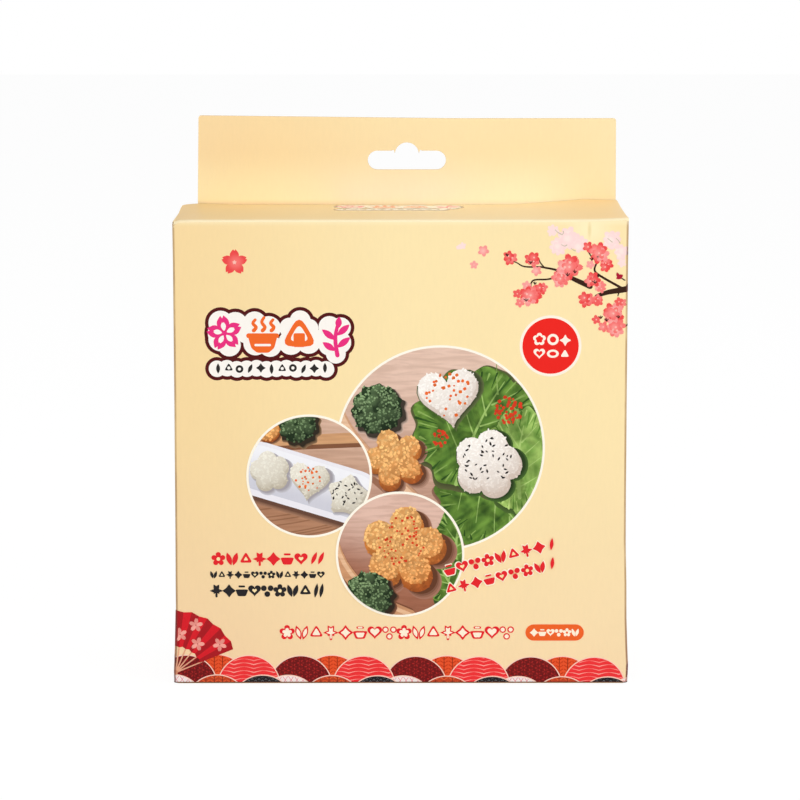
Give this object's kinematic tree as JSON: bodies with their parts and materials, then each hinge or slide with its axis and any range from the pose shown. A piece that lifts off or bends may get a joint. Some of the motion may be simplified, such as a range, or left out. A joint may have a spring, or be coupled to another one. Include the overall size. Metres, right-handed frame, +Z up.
{
  "type": "boxed sushi rice mold press",
  "caption": "Printed board carton with a slotted hang tab, holding a rice mold, its press and a rack of parts cutters.",
  "frame": {"origin": "middle of the carton's base", "axes": "+Z up, the printed front towards -Y, +X to the right as the front is seen"},
  "size_m": [0.175, 0.06, 0.216],
  "materials": {
    "printed_board": "matt varnished print",
    "grey_board": "bare grey board",
    "mold_plastic": "moulded, slightly embossed",
    "press_plastic": "moulded satin",
    "cutter_plastic": "moulded gloss"
  },
  "bodies": {
    "carton": {"front_panel": "printed_board", "back_panel": "printed_board", "left_side_panel": "printed_board", "right_side_panel": "printed_board", "glue_flap": "grey_board", "bottom_outer_flap": "printed_board", "bottom_inner_flap": "grey_board", "bottom_dust_flap_left": "grey_board", "bottom_dust_flap_right": "grey_board"},
    "hang_tab": {"hang_tab_front_ply": "printed_board", "hang_tab_back_ply": "printed_board"},
    "lid_panel": {"top_flap": "printed_board"},
    "tuck_tongue": {"tuck_flap": "printed_board"},
    "dust_panel_left": {"left_dust_flap": "printed_board"},
    "dust_panel_right": {"right_dust_flap": "printed_board"},
    "mold_set": {"cradle_back": "grey_board", "cradle_left_wing": "grey_board", "cradle_right_wing": "grey_board", "cradle_shelf": "grey_board", "mold_base": "mold_plastic", "mold_cup_flower": "mold_plastic", "mold_cup_heart": "mold_plastic", "mold_cup_star": "mold_plastic", "cutter_rack": "mold_plastic"},
    "press": {"press_lid": "press_plastic", "press_head_flower": "press_plastic", "press_head_heart": "press_plastic", "press_head_star": "press_plastic", "press_grip": "press_plastic"},
    "flower_cutter": {"cutter_flower": "cutter_plastic"},
    "star_cutter": {"cutter_star": "cutter_plastic"},
    "heart_cutter": {"cutter_heart": "cutter_plastic"},
    "round_cutter": {"cutter_round": "cutter_plastic"},
    "oval_cutter": {"cutter_oval": "cutter_plastic"},
    "dot_cutter": {"cutter_dot": "cutter_plastic"}
  },
  "joints": [
    {"name": "lift_set_out", "type": "slide", "parent": "carton", "child": "mold_set", "axis": [0, 0, 1], "range_m": [0, 0.15]},
    {"name": "open_lid", "type": "hinge", "parent": "carton", "child": "lid_panel", "pos_m": [0, -0.03, 0.182], "axis": [1, 0, 0], "range_deg": [0, 180]},
    {"name": "unfold_tuck", "type": "hinge", "parent": "lid_panel", "child": "tuck_tongue", "pos_m": [0, 0.0287, 0.182], "axis": [1, 0, 0], "range_deg": [0, 36]},
    {"name": "open_left_dust_flap", "type": "hinge", "parent": "carton", "child": "dust_panel_left", "pos_m": [-0.0875, 0, 0.1812], "axis": [0, -1, 0], "range_deg": [0, 162]},
    {"name": "open_right_dust_flap", "type": "hinge", "parent": "carton", "child": "dust_panel_right", "pos_m": [0.0875, 0, 0.1812], "axis": [0, 1, 0], "range_deg": [0, 162]},
    {"name": "fold_hang_tab_back", "type": "hinge", "parent": "carton", "child": "hang_tab", "pos_m": [0, 0.0301, 0.18193], "axis": [-1, 0, 0], "range_deg": [0, 170]},
    {"name": "draw_press_out", "type": "slide", "parent": "mold_set", "child": "press", "axis": [0, -1, 0], "range_m": [0, 0.014]},
    {"name": "pull_flower_cutter", "type": "slide", "parent": "mold_set", "child": "flower_cutter", "axis": [0, -1, 0], "range_m": [0, 0.015]},
    {"name": "pull_star_cutter", "type": "slide", "parent": "mold_set", "child": "star_cutter", "axis": [0, -1, 0], "range_m": [0, 0.015]},
    {"name": "pull_heart_cutter", "type": "slide", "parent": "mold_set", "child": "heart_cutter", "axis": [0, -1, 0], "range_m": [0, 0.015]},
    {"name": "pull_round_cutter", "type": "slide", "parent": "mold_set", "child": "round_cutter", "axis": [0, -1, 0], "range_m": [0, 0.015]},
    {"name": "pull_oval_cutter", "type": "slide", "parent": "mold_set", "child": "oval_cutter", "axis": [0, -1, 0], "range_m": [0, 0.015]},
    {"name": "pull_dot_cutter", "type": "slide", "parent": "mold_set", "child": "dot_cutter", "axis": [0, -1, 0], "range_m": [0, 0.015]}
  ],
  "couplings": [
    {"joint": "open_lid", "follows": "lift_set_out", "rad_per_m": 20.944},
    {"joint": "unfold_tuck", "follows": "lift_set_out", "rad_per_m": 4.1887},
    {"joint": "open_left_dust_flap", "follows": "lift_set_out", "rad_per_m": 18.849},
    {"joint": "open_right_dust_flap", "follows": "lift_set_out", "rad_per_m": 18.849}
  ]
}
